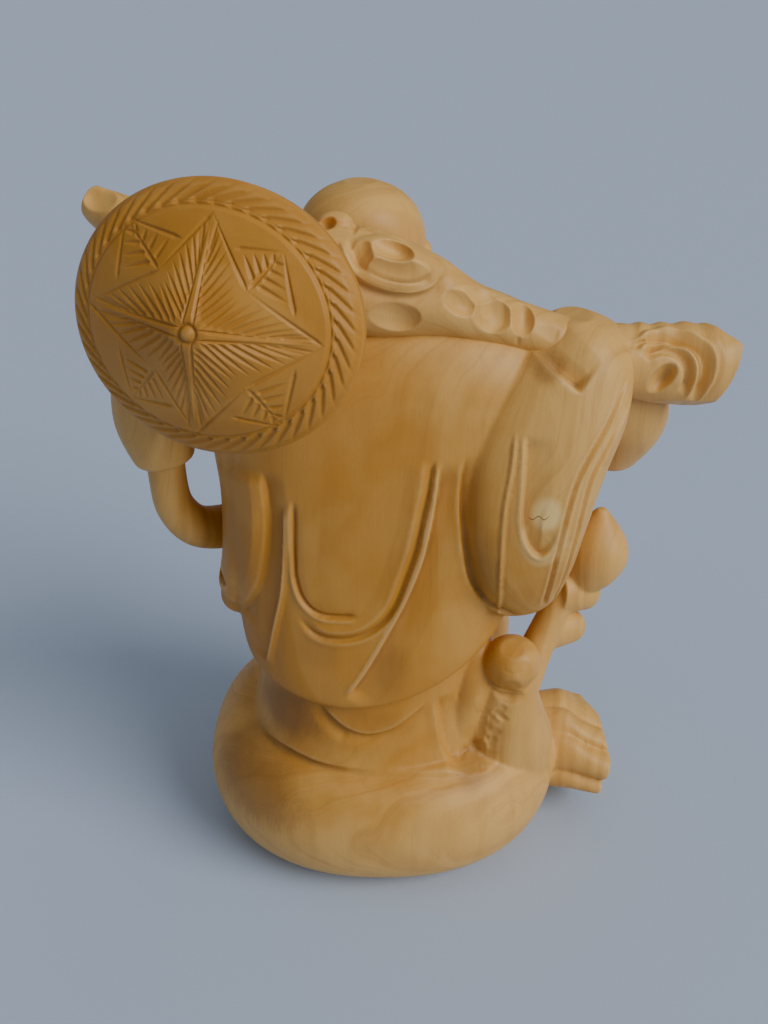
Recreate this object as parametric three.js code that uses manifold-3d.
// A laughing-buddha figure carved from one block of pale boxwood, seated on a round sack, with a gnarled
// staff behind his neck, a straw hat slung on his left shoulder and a small boy climbing at his right side.
//
// Millimetres, +Z up. The figure faces -Y, so +Y is his back and +X his left-hand side. The origin is on the
// ground, below the centre of the figure's box. Every form is one of three kinds of closed surface:
//   stack  - level rings, one above the other (sack, robe, belly, head, hanging sleeve)
//   limb   - rings carried along a path (staff, arms, legs, fingers, mouth of the sack)
//   disc   - rings round a tilted axis (hat)
// The forms are joined into one solid, and the folds, lines and hollows are cut out of it.

import * as THREE from 'three';
import { mergeVertices } from 'three/addons/utils/BufferGeometryUtils.js';
import Module from 'manifold-3d';

const wasm = await Module();
wasm.setup();

// Driving sizes.

// Where the middle of the figure's box lies in the coordinates that the tables below use.
const BOX_MIDDLE = [-6.27, 3.32, 0];

// Each ring of a draped stack hangs lowest at this x, and lifts on both sides of it.
const SWAG_X = 8;

// Rows of a stack: height, centre x, centre y, half width, half depth, squareness, lift at 10 mm from SWAG_X.
const SACK = [
  [0, 0.2, -1.5, 26.5, 25, 2.3, 0],
  [2.2, 0.2, -1.5, 31.5, 29.6, 2.3, 0],
  [8, 0.2, -1.5, 36.4, 34.2, 2.3, 0],
  [16, 0.2, -1.5, 38.4, 36, 2.3, 0],
  [23.5, 0.3, -1.2, 36.3, 34.2, 2.3, 0],
  [28.5, 0.5, -0.5, 31.5, 30, 2.2, 0],
  [31.5, 0.8, 0, 24, 23, 2.1, 0],
];
const SKIRT = [
  [26, 1.6, 0, 27, 27, 2.3, 0],
  [30, 1.6, 0.5, 26.4, 26.3, 2.3, 0],
  [38, 1.5, 1, 25.2, 24.6, 2.3, 0],
  [46, 1.4, 1.6, 24.6, 23.2, 2.3, 0],
  [62, 1.4, 3, 25, 22.6, 2.3, 0],
];
const ROBE = [
  [44.3, 1.2, 7.2, 26, 18.8, 2.4, 1.45],
  [46.4, 1.3, 6.9, 27.2, 20.2, 2.4, 1.45],
  [56, 1.4, 6.4, 28, 20.9, 2.5, 1.1],
  [70, 1.2, 6, 29, 21.2, 2.5, 0.55],
  [84, 0.6, 5.8, 30.8, 21.3, 2.5, 0.15],
  [97, -0.6, 5.6, 33.2, 20.8, 2.5, 0],
  [107, -1.5, 5.2, 34, 20, 2.5, 0],
  [113, -2.2, 5, 31.5, 18.4, 2.4, 0],
  [118, -1.6, 4.6, 25, 16, 2.2, 0],
  [122.5, 0.5, 3, 15, 11.5, 2, 0],
];
// What is cut out of the front of the robe, where it stands open over the belly.
const ROBE_OPENING = [
  [40, 1, -26, 17, 16, 2.2, 0],
  [56, 1, -24, 24, 18, 2.3, 0],
  [74, 1, -23, 26, 18, 2.3, 0],
  [92, 1.5, -20, 22, 15, 2.3, 0],
  [108, 2.6, -16, 14, 10, 2.2, 0],
  [118, 3.4, -14, 7, 8, 2, 0],
];
const HANGING_SLEEVE = [
  [60.2, -25.4, 14, 2.4, 2.6, 2, 0],
  [61.4, -25, 14, 5.2, 5.2, 2.2, 0],
  [66, -25, 13.8, 8.6, 11.2, 2.3, 0],
  [73, -25, 13.2, 10.9, 14.8, 2.7, 0],
  [82, -25, 12.8, 12.8, 16.2, 3, 0],
  [92, -26, 12.4, 14.4, 16, 3, 0],
  [101, -28.2, 11.6, 15.4, 15.2, 2.8, 0],
  [108, -30.2, 10.8, 14.4, 14.2, 2.5, 0],
  [113, -32.4, 10.8, 11.6, 12.2, 2.3, 0],
  [116.8, -34, 11, 7.6, 9, 2, 0],
  [119, -33.6, 11.2, 3.4, 5, 2, 0],
];
const BELLY = [
  [42, 0.5, -11, 13, 12, 2, 0],
  [48, 0.5, -12, 20, 18.6, 2.1, 0],
  [57, 0.5, -12.4, 24.4, 22.6, 2.1, 0],
  [67, 0.8, -12, 25.4, 23.4, 2.1, 0],
  [77, 1, -9.6, 24.4, 20.4, 2.1, 0],
  [85, 1.5, -7, 23, 17, 2.1, 0],
  [95, 2, -6, 23.4, 16.4, 2.2, 0],
  [105, 2.6, -4.6, 21, 13.6, 2.2, 0],
  [112, 3.4, -3, 13, 9.6, 2.1, 0],
];
const HEAD = [
  [108, 4.3, -7, 6.5, 7, 2, 0],
  [110.4, 4.3, -9.2, 9.2, 10, 2.1, 0],
  [114, 4.3, -9.6, 11, 11.6, 2.2, 0],
  [119, 4.3, -8.8, 11.8, 12.2, 2.2, 0],
  [124, 4.3, -7.6, 11.9, 12.2, 2.2, 0],
  [129.5, 4.3, -6.6, 12, 12.2, 2.1, 0],
  [134, 4.3, -5.8, 10.4, 11, 2, 0],
  [137.2, 4.3, -5.2, 7.2, 7.8, 2, 0],
  [139, 4.3, -5, 3, 3.4, 2, 0],
];

// Rows of a limb: x, y, z of the path, half width, half height.
const STAFF = [
  [49.6, 9, 138, 2.5, 3],
  [46, 11, 136.4, 3.4, 3.8],
  [36, 14.4, 133, 4.6, 4.8],
  [22, 16.4, 130, 6, 6.4],
  [8, 17, 127.4, 7.4, 8.8],
  [0, 17, 125.4, 7.4, 8.8],
  [-7, 16.6, 123.8, 6.8, 7.2],
  [-15, 16, 120.8, 5.4, 5],
  [-26, 14.4, 117, 4.6, 4.2],
  [-36, 12, 112.4, 5.6, 5.4],
  [-46, 10, 110, 6.8, 6.8],
  [-55, 8.4, 108.6, 7.4, 7.8],
  [-62, 7, 107.8, 7, 7.8],
];
const LEFT_SLEEVE = [
  [22, 6, 112, 11, 11],
  [32, 7, 112, 10.5, 10.5],
  [39.5, 8, 107, 9.6, 9.4],
  [42.6, 8, 99, 8, 8.4],
  [41.8, 8, 90.4, 5.8, 6.4],
];
const LEFT_FOREARM = [
  [41.6, 8, 96, 3.8, 4.2],
  [41.6, 8, 86, 3.6, 4],
  [40.8, 7, 79, 3.8, 4],
  [37.4, 5, 73.8, 4.2, 4.2],
  [32, 1, 71.6, 4.6, 4],
  [27.6, -5, 70.4, 4.8, 3.4],
];
const SIDE_FOLD = [
  [27, 12, 98, 4.4, 7],
  [26.4, 10, 84, 4.6, 8.6],
  [27, 9, 70, 4.6, 8.4],
  [29, 8.4, 60.4, 4, 6],
];
const RIGHT_FOREARM = [
  [-30, 6, 107, 9, 10],
  [-40, 0.6, 103.4, 9.8, 10.8],
  [-46.8, -2.4, 96, 9, 9.6],
  [-45.6, -6, 87, 7, 7],
];
const RIGHT_HAND = [
  [-45.4, -6, 92, 3.8, 4],
  [-43.6, -10, 84, 3.5, 3.7],
  [-38, -15, 80, 4, 4],
  [-31.4, -19.6, 78.6, 4.6, 3.4],
];
// The edges of the open robe, from the neck down beside the belly.
const LAPELS = [
  [[11, -6, 114, 3.4, 3], [19, -14.6, 104, 3.6, 3.2], [24.4, -18.6, 88, 3.4, 3.2],
    [26.4, -20, 70, 3.2, 3.2], [23, -22, 53, 3.2, 3]],
  [[-4.6, -6, 114, 3.4, 3], [-14, -14.6, 104, 3.6, 3.2], [-21.4, -18.6, 88, 3.4, 3.2],
    [-24.4, -20, 70, 3.2, 3.2], [-22, -22, 53, 3.2, 3]],
];
// Four fingers side by side: the first knuckle, the step to the next, and the way to the bend and to the tip.
const FINGERS = [
  {
    from: [30.4, -6, 71.8], step: [-2.6, -0.6, 0.1],
    reach: [-2, -5, -1.4], drop: [-0.6, -3.4, -3.4], size: 1.25,
  },
  {
    from: [-32, -17, 81], step: [0.3, -0.6, -2.1],
    reach: [5, -3.4, -0.4], drop: [3.6, -0.6, -0.8], size: 1,
  },
];
const LAP = { at: [0.6, -11, 41], size: [23, 18, 9] };
const RIGHT_LEG = [
  [[-8, -4, 41, 11, 10], [-19.4, -11, 38, 9.4, 8.6], [-24.4, -19.4, 35.6, 7.2, 7.4]],
  [[-24.2, -19.8, 34, 7, 8], [-14, -25.4, 34, 8, 7.6], [-3, -30.4, 33, 5.4, 5.2]],
];
const LEFT_LEG = [
  [[10, -4, 45, 11, 11], [19, -12, 55, 10, 10], [24, -19, 62.4, 8.4, 8.4]],
  [[24.2, -20.4, 60.4, 8, 8.2], [23, -25, 48, 7.2, 7.4], [20.8, -25.4, 36.4, 6, 6]],
];
const FEET = [
  [[-5, -29.4, 33.4, 3.8, 3.4], [2, -31, 32.8, 4.4, 3.6], [9, -31.6, 32.4, 4.9, 2.9]],
  [[20.8, -24, 33, 4.2, 4], [20.2, -28.4, 32.2, 4.7, 3.9], [19.4, -33, 31, 5.2, 2.9]],
];
const SACK_MOUTH = [
  [-31, -3, 15.5, 9, 10.6],
  [-38, -3, 14, 10.8, 11],
  [-43.6, -3, 12, 12.4, 9.8],
  [-49, -3, 10.6, 13.4, 8.6],
];
const MOUTH_FLUTES = 8;
const MOUTH_FLUTE_DEPTH = 0.16;

// The boy who climbs at the sack's right side.
const BOY_HEAD = { at: [-25.4, 18, 50], size: [5.8, 5.6, 5.4] };
const BOY_BODY = [
  [20, -24.4, 9.6, 11.6, 11, 2.1, 0],
  [28, -24.6, 11, 11, 11, 2.1, 0],
  [35, -24.8, 13, 8.6, 9.4, 2.1, 0],
  [41, -25, 14.8, 6.6, 7, 2.1, 0],
  [46, -25.4, 16.6, 5, 5, 2, 0],
];
const BOY_ARM = [
  [-28, 14, 42, 4.2, 4],
  [-31.4, 11, 49, 3.4, 3.4],
  [-34.8, 8.4, 56, 3, 3],
  [-38.6, 6, 61, 3.6, 3.4],
];
const BOY_HANDS = [
  [[-34.6, 7.4, 51.6, 3, 3.4], [-38.8, 6, 50.4, 3.2, 3.5]],
  [[-36, 6.6, 59, 3.4, 3.8], [-41.2, 5.6, 58.4, 3.3, 3.7]],
];
const FOLD_BY_THE_BOY = [
  [-17.8, 13, 57, 1.8, 2.2],
  [-19, 16.6, 50.5, 2.4, 2.8],
  [-19.2, 18.4, 43, 2.8, 3],
  [-18.8, 19, 34, 3, 3],
];
const PEACH = [
  [59.6, -40.8, 5, 3, 3, 2, 0],
  [62, -41.8, 5, 5, 5, 2, 0],
  [66, -42.8, 5, 6.4, 6.2, 2, 0],
  [70, -43, 5, 6, 5.8, 2, 0],
  [74, -43, 5, 3.8, 3.8, 2, 0],
  [77.6, -43.2, 5, 0.9, 0.9, 2, 0],
];

// The straw hat: a shallow cone, seen from its outside, its axis pointing back and a little to his left.
const HAT = {
  centre: [26.9, 33.2, 124.5],
  axis: [0.3, 0.94, 0.12],
  halfWidth: 24.4,
  halfHeight: 21.7,
  // Radius as a share of the rim, height above the rim's plane.
  profile: [
    [0, 11], [0.12, 10.4], [0.815, 2.9], [0.835, 2], [0.855, 2.3],
    [0.955, 0.7], [1, -0.9], [0.985, -2.8], [0.8, -5.4], [0.55, -14],
  ],
};
const STAR = { tip: 0.79, notch: 0.45, turn: -7, points: 4 };

// Drapery lines on the back: points as x, z, then the width and the depth of the cut.
const FOLDS = [
  { line: [[18, 89], [18.4, 80], [20, 70], [22.6, 52]], width: 2.4, depth: 1.2 },
  { line: [[16.4, 88.6], [16.5, 76], [14.2, 68], [9.4, 64.4], [4.6, 64.8]], width: 2.2, depth: 1.1 },
  { line: [[15.6, 67], [10, 60.9], [3.8, 62.6], [-2.2, 70.8], [-5.6, 82], [-7.6, 97]], width: 2.8, depth: 1.4 },
  { line: [[-9.9, 96.4], [-8.6, 84], [-5.5, 70.4], [0.4, 58.5], [6.9, 47.4]], width: 2.6, depth: 1.2 },
];
const SKIRT_FOLDS = [
  { line: [[13.7, 44], [10.2, 41], [3.8, 37.6], [-3.2, 39.6], [-9.6, 45]], width: 2.4, depth: 1 },
  { line: [[-11.6, 40.4], [-13.4, 31.6]], width: 3, depth: 1 },
];
const SLEEVE_FOLDS = [
  { line: [[-22.4, 102.4], [-20.8, 88], [-21.6, 66.6]], width: 2, depth: 1 },
  { line: [[-24.1, 101.3], [-24, 89], [-27.4, 80.4], [-33.1, 91.6]], width: 2.2, depth: 1 },
  { line: [[-40.4, 110], [-36.4, 99.3], [-31, 77]], width: 1.8, depth: 0.9 },
  { line: [[-26, 115], [-30, 112.6], [-33.6, 109.4]], width: 3.4, depth: 2.4 },
];

// Hollows of the gnarled staff: centre, half sizes.
const STAFF_PITS = [
  { at: [-1.6, 21.8, 132], size: [3.4, 2.6, 1.8] },
  { at: [-2.3, 24, 122.4], size: [4.4, 1.9, 1.7] },
  { at: [-11.7, 22.4, 124.2], size: [2.2, 1.8, 1.4] },
  { at: [-18.4, 19.6, 120.9], size: [3.2, 1.9, 2.3] },
  { at: [-23.7, 19.4, 119.9], size: [1.6, 1.9, 1.8] },
  { at: [-49.5, 17, 109.1], size: [2.3, 2.2, 1.8] },
  { at: [-58.4, 14.2, 110.6], size: [1.5, 2.2, 4.6] },
  { at: [48.4, 11, 138.8], size: [2.2, 2.2, 1.5] },
];

// Closed surfaces.

// A row between the rows of a table, on a smooth curve through them; `at` counts rows.
function blend(rows, at) {
  const last = rows.length - 1;
  const low = Math.min(Math.floor(at), last - 1);
  const f = at - low;
  const [a, b, c, d] = [low - 1, low, low + 1, low + 2].map((k) => rows[Math.min(Math.max(k, 0), last)]);
  return b.map((value, k) => 0.5 * (2 * value + (c[k] - a[k]) * f
    + (2 * a[k] - 5 * value + 4 * c[k] - d[k]) * f * f
    + (3 * value - a[k] - 3 * c[k] + d[k]) * f * f * f));
}

// Joins rings of equal count into a closed surface, with a fan over each end.
function surface(rings) {
  const sides = rings[0].length;
  const middle = (ring) => ring.reduce((sum, p) => sum.add(p), new THREE.Vector3()).divideScalar(sides);
  const points = [...rings.flat(), middle(rings[0]), middle(rings[rings.length - 1])];
  const faces = [];
  for (let ring = 0; ring + 1 < rings.length; ring += 1) {
    for (let k = 0; k < sides; k += 1) {
      const [a, b] = [ring * sides + k, ring * sides + ((k + 1) % sides)];
      faces.push(a, b, b + sides, a, b + sides, a + sides);
    }
  }
  const top = (rings.length - 1) * sides;
  for (let k = 0; k < sides; k += 1) {
    const next = (k + 1) % sides;
    faces.push(points.length - 2, next, k);
    faces.push(points.length - 1, top + k, top + next);
  }
  const geometry = new THREE.BufferGeometry().setFromPoints(points);
  geometry.setIndex(faces);
  return geometry;
}

// A point of a superellipse: 2 gives an ellipse, more is squarer.
function around(angle, halfWidth, halfDepth, squareness) {
  const power = 2 / squareness;
  const [c, s] = [Math.cos(angle), Math.sin(angle)];
  return [
    halfWidth * Math.sign(c) * Math.abs(c) ** power,
    halfDepth * Math.sign(s) * Math.abs(s) ** power,
  ];
}

function stack(rows, { sides = 24, steps = 2 } = {}) {
  const rings = [];
  for (let i = 0; i <= (rows.length - 1) * steps; i += 1) {
    const [z, x, y, halfWidth, halfDepth, squareness, lift] = blend(rows, i / steps);
    rings.push(Array.from({ length: sides }, (_, k) => {
      const [dx, dy] = around((2 * Math.PI * k) / sides, halfWidth, halfDepth, squareness);
      return new THREE.Vector3(x + dx, y + dy, z + lift * ((x + dx - SWAG_X) / 10) ** 2);
    }));
  }
  return surface(rings);
}

// `up` is the direction of a ring's half height, and `round` the roundness of each end. `ripple` gives a
// factor on the ring for an angle and a share of the way along.
function limb(rows, { sides = 10, steps = 2, up = [0, 0, 1], round = [1, 1], ripple = () => 1 } = {}) {
  const count = (rows.length - 1) * steps;
  const along = Array.from({ length: count + 1 }, (_, i) => blend(rows, i / steps));
  const paths = along.map((row) => new THREE.Vector3(row[0], row[1], row[2]));
  const frames = paths.map((_, i) => {
    const forward = paths[Math.min(i + 1, count)].clone().sub(paths[Math.max(i - 1, 0)]).normalize();
    const high = new THREE.Vector3(...up);
    high.addScaledVector(forward, -high.dot(forward)).normalize();
    return { forward, high, side: high.clone().cross(forward) };
  });
  const ring = (i, scale, shift) => {
    const { forward, high, side } = frames[i];
    return Array.from({ length: sides }, (_, k) => {
      const angle = (2 * Math.PI * k) / sides;
      const size = scale * ripple(angle, i / count);
      return paths[i].clone().addScaledVector(forward, shift)
        .addScaledVector(side, along[i][3] * size * Math.cos(angle))
        .addScaledVector(high, along[i][4] * size * Math.sin(angle));
    });
  };
  const rings = paths.map((_, i) => ring(i, 1, 0));
  const cap = (i, roundness) => (roundness < 0.8 ? [0.75] : [0.5, 0.87]).map((share) => {
    const reach = Math.min(along[i][3], along[i][4]) * roundness;
    return ring(i, Math.sqrt(1 - share * share), reach * share * (i ? 1 : -1));
  });
  return surface([
    ...(round[0] ? cap(0, round[0]).reverse() : []), ...rings, ...(round[1] ? cap(count, round[1]) : []),
  ]);
}

// An ellipsoid; `turn` turns it about the vertical, in degrees.
function ball({ at, size, turn = 0 }, sides = 12, rows = 8) {
  return new THREE.SphereGeometry(1, sides, rows).rotateX(Math.PI / 2).scale(...size)
    .rotateZ(THREE.MathUtils.degToRad(turn)).translate(...at);
}

function solid(geometry) {
  const bare = new THREE.BufferGeometry().setAttribute('position', geometry.getAttribute('position'));
  if (geometry.index) bare.setIndex(geometry.index);
  const merged = mergeVertices(bare, 1e-4);
  const { Manifold, Mesh } = wasm;
  const faces = new Uint32Array(merged.index.array);
  const make = () => new Manifold(new Mesh({
    numProp: 3,
    vertProperties: new Float32Array(merged.attributes.position.array),
    triVerts: faces,
  }));
  const body = make();
  if (body.volume() > 0) return body;
  for (let i = 0; i < faces.length; i += 3) [faces[i], faces[i + 1]] = [faces[i + 1], faces[i]];
  return make();
}

// Hat and its star.

const hatAxis = new THREE.Vector3(...HAT.axis).normalize();
const hatAcross = new THREE.Vector3(0, 0, 1).cross(hatAxis).normalize();
const hatUp = hatAxis.clone().cross(hatAcross).normalize();

function hatHeight(radius) {
  const { profile } = HAT;
  const k = Math.max(1, profile.findIndex(([r]) => r >= radius));
  const [[r0, h0], [r1, h1]] = [profile[k - 1], profile[k]];
  return h0 + ((h1 - h0) * (radius - r0)) / (r1 - r0);
}

// A point of the hat: radius as a share of the rim, angle in degrees from his right, height above the rim.
function hatPoint(radius, degrees, height) {
  const angle = THREE.MathUtils.degToRad(degrees);
  return new THREE.Vector3(...HAT.centre)
    .addScaledVector(hatAcross, HAT.halfWidth * radius * Math.cos(angle))
    .addScaledVector(hatUp, HAT.halfHeight * radius * Math.sin(angle))
    .addScaledVector(hatAxis, height);
}

function hat(sides = 26) {
  const rings = HAT.profile.slice(1).reverse().map(([radius, height]) => (
    Array.from({ length: sides }, (_, k) => hatPoint(radius, (360 * k) / sides, height))));
  rings.push(Array.from({ length: sides }, (_, k) => hatPoint(0.03, (360 * k) / sides, HAT.profile[0][1])));
  return surface(rings);
}

// Cuts.

// A V-shaped cutter along points with outward directions; it runs out to nothing at both ends.
function groove(points, outward, width, depth) {
  const count = points.length;
  const rings = points.map((point, i) => {
    const share = Math.sin(Math.PI * (0.08 + (0.84 * i) / (count - 1))) ** 0.5;
    const before = points[Math.max(i - 1, 0)];
    const after = points[Math.min(i + 1, count - 1)];
    const forward = after.clone().sub(before).normalize();
    const side = outward[i].clone().cross(forward).normalize();
    const lift = 0.5;
    const half = (width / 2) * share * (1 + lift / Math.max(depth * share, 0.1));
    return [
      point.clone().addScaledVector(outward[i], -depth * share),
      point.clone().addScaledVector(outward[i], lift).addScaledVector(side, -half),
      point.clone().addScaledVector(outward[i], lift).addScaledVector(side, half),
    ];
  });
  return surface(rings);
}

// The back of a stack at x and z, and the direction out of it.
function backOf(rows, x, z) {
  const ringAt = (level) => {
    let [low, high] = [0, rows.length - 1];
    for (let i = 0; i < 30; i += 1) {
      const middle = (low + high) / 2;
      const row = blend(rows, middle);
      if (row[0] + row[6] * ((x - SWAG_X) / 10) ** 2 < level) low = middle;
      else high = middle;
    }
    return blend(rows, low);
  };
  const depthAt = (u, level) => {
    const [, cx, cy, halfWidth, halfDepth, squareness] = ringAt(level);
    const share = Math.min(Math.abs((u - cx) / halfWidth), 0.985);
    return cy + halfDepth * (1 - share ** squareness) ** (1 / squareness);
  };
  const y = depthAt(x, z);
  const slopeX = (depthAt(x + 0.5, z) - depthAt(x - 0.5, z));
  const slopeZ = (depthAt(x, z + 0.5) - depthAt(x, z - 0.5));
  return { point: new THREE.Vector3(x, y, z), out: new THREE.Vector3(-slopeX, 1, -slopeZ).normalize() };
}

function foldCut(rows, { line, width, depth }, steps = 2) {
  const places = Array.from({ length: (line.length - 1) * steps + 1 }, (_, i) => {
    const [x, z] = blend(line, i / steps);
    return backOf(rows, x, z);
  });
  return groove(places.map((p) => p.point), places.map((p) => p.out), width, depth);
}

function hatCut(from, to, width, depth, steps = 2) {
  const [a, b] = [from, to].map(([radius, degrees]) => {
    const angle = THREE.MathUtils.degToRad(degrees);
    return [radius * Math.cos(angle), radius * Math.sin(angle)];
  });
  const points = Array.from({ length: steps + 1 }, (_, i) => {
    const [p, q] = [0, 1].map((k) => a[k] + ((b[k] - a[k]) * i) / steps);
    const radius = Math.hypot(p, q);
    return hatPoint(radius, THREE.MathUtils.radToDeg(Math.atan2(q, p)), hatHeight(radius));
  });
  return groove(points, points.map(() => hatAxis), width, depth);
}

// The carving.

const facing = [0, -1, 0];
const headX = HEAD[4][1];

function fingers({ from, step, reach, drop, size }) {
  return Array.from({ length: 4 }, (_, k) => {
    const knuckle = from.map((value, axis) => value + step[axis] * k);
    const bend = knuckle.map((value, axis) => value + reach[axis]);
    const tip = bend.map((value, axis) => value + drop[axis]);
    return limb(
      [[...knuckle, size, size], [...bend, size, size * 0.95], [...tip, size * 0.85, size * 0.8]],
      { sides: 6, steps: 1, up: [0.1, 0.2, 1], round: [0, 0.7] },
    );
  });
}

const face = [
  limb([
    [headX, -18.4, 126.6, 1.1, 1.1],
    [headX, -20.6, 122.6, 1.6, 1.5],
    [headX, -21.2, 120.4, 2.4, 1.7],
  ], { sides: 6, steps: 1, up: facing }),
  ball({ at: [headX, -17.4, 110.8], size: [3.8, 3, 2] }, 8, 5),
  ...[-1, 1].map((s) => limb([
    [headX + s * 2, -18.4, 128.8, 0.6, 0.6],
    [headX + s * 4.8, -17.6, 129.8, 0.6, 0.7],
    [headX + s * 8, -14.8, 128.6, 0.5, 0.5],
  ], { sides: 5, steps: 1, up: facing, round: [0.5, 0.5] })),
  ...[-1, 1].map((s) => ball({ at: [headX + s * 4.6, -17.3, 125.2], size: [2.5, 1.9, 1.4] }, 6, 4)),
  ...[-1, 1].map((s) => limb([
    [headX + s * 11.6, -6.4, 126.4, 1.6, 2.6],
    [headX + s * 12.2, -7, 120, 1.5, 2.6],
    [headX + s * 11.8, -7.6, 113.4, 1.6, 2.2],
  ], { sides: 8, steps: 1, up: facing })),
];

const forms = [
  stack(SACK, { sides: 30, steps: 1 }),
  stack(SKIRT, { sides: 20, steps: 1 }),
  stack(ROBE, { sides: 28, steps: 1 }),
  stack(HANGING_SLEEVE, { sides: 18, steps: 1 }),
  stack(HEAD, { sides: 18, steps: 1 }),
  limb(STAFF, { sides: 10, steps: 1, round: [0.3, 0.12] }),
  limb(LEFT_SLEEVE, { sides: 10, steps: 1, up: [0, 1, 0], round: [0, 0.3] }),
  limb(LEFT_FOREARM, { sides: 8, steps: 1, up: [0, 1, 0.2], round: [0, 0.7] }),
  limb(SIDE_FOLD, { sides: 10, steps: 1, up: [0, 1, 0], round: [0, 0.7] }),
  limb(RIGHT_FOREARM, { sides: 10, steps: 1, up: [0, 1, 0], round: [0, 0.6] }),
  limb(RIGHT_HAND, { sides: 8, steps: 1, up: [0.3, 1, 0.3], round: [0, 0.7] }),
  ...LAPELS.map((rows) => limb(rows, { sides: 7, steps: 1, up: [0, -1, 0.3], round: [0, 0] })),
  ...RIGHT_LEG.map((rows) => limb(rows, { sides: 9, steps: 1 })),
  ...LEFT_LEG.map((rows) => limb(rows, { sides: 9, steps: 1, up: [0, -1, 0.2] })),
  ...FEET.map((rows) => limb(rows, { sides: 8, steps: 1, round: [0, 0.7] })),
  limb(SACK_MOUTH, {
    sides: MOUTH_FLUTES * 4,
    steps: 1,
    round: [0, 0],
    ripple: (angle, along) => (
      1 + MOUTH_FLUTE_DEPTH * along * (Math.abs(Math.cos((MOUTH_FLUTES / 2) * angle)) - 0.8)),
  }),
  stack(BOY_BODY, { sides: 12, steps: 1 }),
  ball(BOY_HEAD, 12, 7),
  ball(LAP, 14, 6),
  limb(BOY_ARM, { sides: 8, steps: 1, up: [0, 1, 0], round: [0, 0] }),
  ...BOY_HANDS.map((rows) => limb(rows, { sides: 7, steps: 1, round: [0, 1] })),
  limb(FOLD_BY_THE_BOY, { sides: 7, steps: 1, round: [0.5, 0] }),
  stack(PEACH, { sides: 12, steps: 1 }),
  hat(),
  ...FINGERS.flatMap(fingers),
];

const opening = stack(ROBE_OPENING, { sides: 20, steps: 1 });

const starPoint = (k) => (k % 2
  ? [STAR.notch, STAR.turn + (k * 180) / STAR.points]
  : [STAR.tip, STAR.turn + (k * 180) / STAR.points]);
const starCorners = Array.from({ length: STAR.points * 2 }, (_, k) => starPoint(k));
const hatCuts = [
  ...starCorners.map((corner, k) => hatCut(corner, starCorners[(k + 1) % starCorners.length], 1.2, 0.6)),
  ...starCorners.filter((_, k) => k % 2 === 0)
    .map(([radius, turn]) => hatCut([0.06, turn], [radius, turn], 1.1, 0.5, 1)),
];

const smile = [[-4.4, -18.8, 116.6], [0, -21.4, 115], [4.4, -18.8, 116.6]].map(
  ([x, y, z]) => new THREE.Vector3(headX + x, y, z));
const cuts = [
  groove(smile, smile.map(() => new THREE.Vector3(...facing)), 1.4, 0.7),
  ...FOLDS.map((fold) => foldCut(ROBE, fold)),
  ...SKIRT_FOLDS.map((fold) => foldCut(SKIRT, fold)),
  ...SLEEVE_FOLDS.map((fold) => foldCut(HANGING_SLEEVE, fold)),
  ...STAFF_PITS.map((pit) => ball(pit, 7, 5)),
  ...hatCuts,
];

const join = (list) => list.reduce((sum, next) => sum.add(next));
const clothed = join(forms.slice(0, 3).map(solid)).subtract(solid(opening));
const belly = stack(BELLY, { sides: 22, steps: 1 });
const figure = join([clothed, ...[...forms.slice(3), belly, ...face].map(solid)]);
const ground = new THREE.BoxGeometry(300, 300, 40).translate(0, 0, -20);
const carved = figure.subtract(join(cuts.map(solid))).subtract(solid(ground));

function geometryOf(body) {
  const { vertProperties, triVerts } = body.getMesh();
  const geometry = new THREE.BufferGeometry();
  geometry.setAttribute('position', new THREE.BufferAttribute(new Float32Array(vertProperties), 3));
  geometry.setIndex(new THREE.BufferAttribute(new Uint32Array(triVerts), 1));
  geometry.computeVertexNormals();
  return geometry;
}

const boxwood = new THREE.MeshStandardMaterial({ color: 0xc99a55, roughness: 0.5, metalness: 0 });
const figureMesh = new THREE.Mesh(geometryOf(carved), boxwood);
figureMesh.name = 'laughing_buddha_carving';
figureMesh.position.set(...BOX_MIDDLE.map((value) => -value));

const model = new THREE.Group();
model.add(figureMesh);
export default model;
